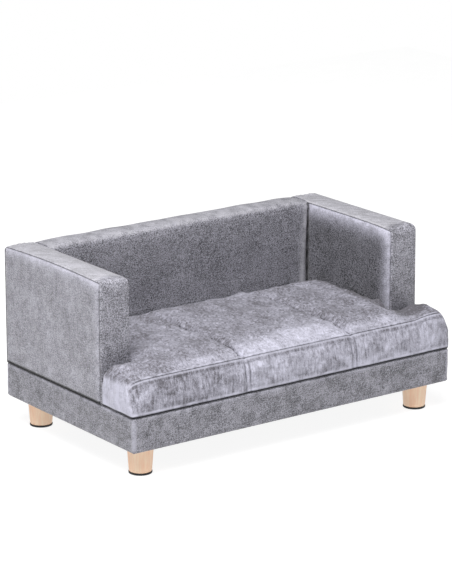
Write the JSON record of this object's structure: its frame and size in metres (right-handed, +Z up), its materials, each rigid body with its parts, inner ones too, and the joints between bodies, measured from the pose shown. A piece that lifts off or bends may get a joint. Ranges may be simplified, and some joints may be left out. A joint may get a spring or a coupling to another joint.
{
  "type": "dog sofa bed",
  "caption": "Low upholstered pet sofa with two square arms, a back, turned wooden legs and a loose T-shaped seat cushion that lifts out.",
  "frame": {"origin": "on the floor under the middle of the base", "axes": "+Z up, the front faces -Y, and X runs across the width with the left arm at -X"},
  "size_m": [0.685, 0.392, 0.3206],
  "materials": {
    "grey_leather": "brushed, softly mottled",
    "velvet": "crushed pile with a sheen",
    "black_cloth": "thin non-woven",
    "foam": "open cell foam",
    "frame_timber": "planed pine",
    "deck_plywood": "plywood",
    "hardboard": "hardboard",
    "leg_wood": "pale, clear matt lacquer",
    "foot_pad": "matt",
    "zinc_steel": "zinc plated",
    "brass_inserts": "turned",
    "zip_cloth": "woven tape",
    "zip_plastic": "coil",
    "zip_metal": "satin"
  },
  "bodies": {
    "sofa_frame": {"base_front_rail": "frame_timber", "base_rear_rail": "frame_timber", "base_left_rail": "frame_timber", "base_right_rail": "frame_timber", "base_cross_rails": "frame_timber", "corner_blocks": "frame_timber", "leg_nuts": "zinc_steel", "seat_deck": "deck_plywood", "base_foam": "foam", "base_cover": "grey_leather", "deck_lining": "black_cloth", "dust_cover": "black_cloth", "dust_cover_staples": "zinc_steel", "left_arm_posts": "frame_timber", "left_arm_rails": "frame_timber", "left_arm_outer_board": "hardboard", "left_arm_inner_board": "hardboard", "left_arm_foam": "foam", "left_arm_boxing": "grey_leather", "left_arm_outer_panel": "grey_leather", "left_arm_inner_panel": "grey_leather", "right_arm_posts": "frame_timber", "right_arm_rails": "frame_timber", "right_arm_outer_board": "hardboard", "right_arm_inner_board": "hardboard", "right_arm_foam": "foam", "right_arm_boxing": "grey_leather", "right_arm_outer_panel": "grey_leather", "right_arm_inner_panel": "grey_leather", "back_posts": "frame_timber", "back_rails": "frame_timber", "back_rear_board": "hardboard", "back_front_board": "hardboard", "back_foam": "foam", "back_cover": "grey_leather", "back_left_end_panel": "grey_leather", "back_right_end_panel": "grey_leather", "unit_bolts": "zinc_steel", "unit_nuts": "brass_inserts", "front_left_leg": "leg_wood", "front_right_leg": "leg_wood", "rear_left_leg": "leg_wood", "rear_right_leg": "leg_wood", "front_left_foot_pad": "foot_pad", "front_right_foot_pad": "foot_pad", "rear_left_foot_pad": "foot_pad", "rear_right_foot_pad": "foot_pad", "leg_bolts": "zinc_steel"},
    "cushion": {"cushion_foam": "foam", "cushion_cover": "velvet", "zip_tape": "zip_cloth", "zip_teeth": "zip_plastic"},
    "zip_slider": {"zip_slider": "zip_metal", "zip_pull": "zip_metal"}
  },
  "joints": [
    {"name": "cushion_lift", "type": "slide", "parent": "sofa_frame", "child": "cushion", "axis": [0, 0, 1], "range_m": [0, 0.23]},
    {"name": "zip_slide", "type": "slide", "parent": "cushion", "child": "zip_slider", "axis": [-1, 0, 0], "range_m": [0, 0.435]}
  ]
}
